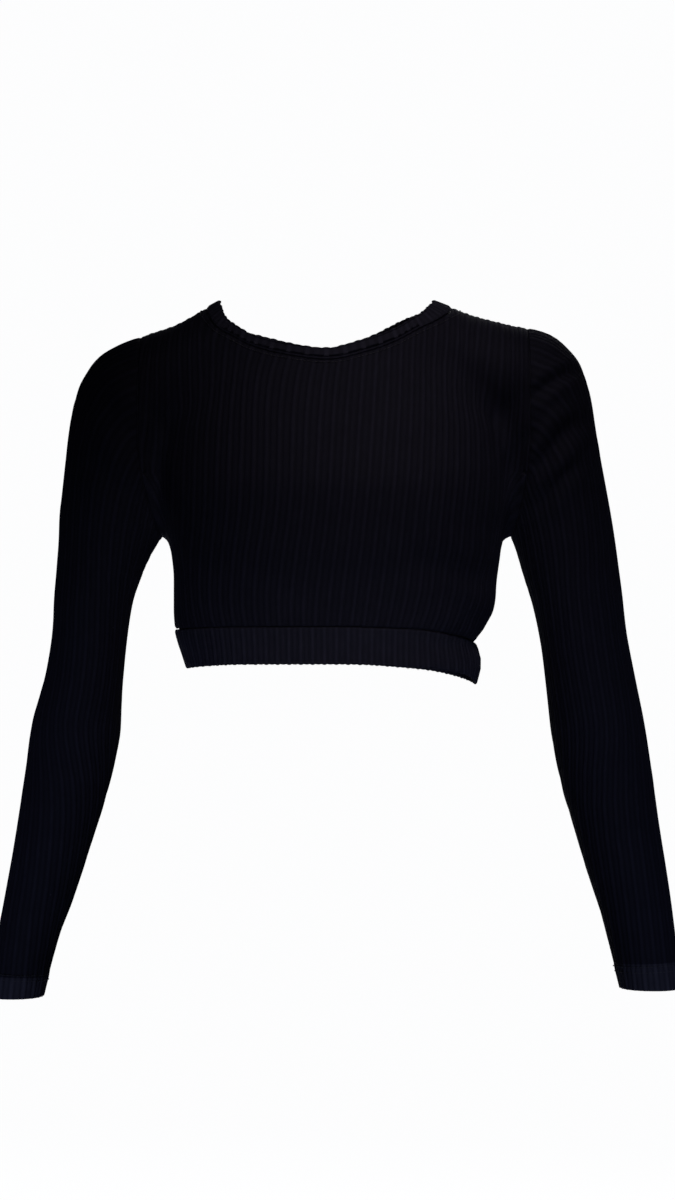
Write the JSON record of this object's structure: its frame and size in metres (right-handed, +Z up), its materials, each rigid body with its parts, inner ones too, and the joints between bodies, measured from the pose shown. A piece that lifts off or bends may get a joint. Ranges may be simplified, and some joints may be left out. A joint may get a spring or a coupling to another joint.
{
  "type": "long-sleeved rib-knit crop top",
  "caption": "Fitted long-sleeved crop top in rib knit, worn form with hollow body and sleeves, crew neckband and a ribbed hem band.",
  "frame": {"origin": "between the tops of the shoulders, where the wearer carries the top", "axes": "+Z up, -Y out of the front, +X to the wearer's left, which is the viewer's right from the front"},
  "size_m": [0.6019, 0.2132, 0.6043],
  "materials": {
    "rib_knit": "black rib knit with a faint blue cast, matt with a soft nap",
    "rib_band": "black rib knit band, doubled, slightly lighter than the body"
  },
  "bodies": {
    "root": {"front": "rib_knit", "back": "rib_knit", "left_sleeve": "rib_knit", "right_sleeve": "rib_knit", "neckband": "rib_band", "hem_band_front": "rib_band", "hem_band_back": "rib_band"}
  },
  "joints": []
}
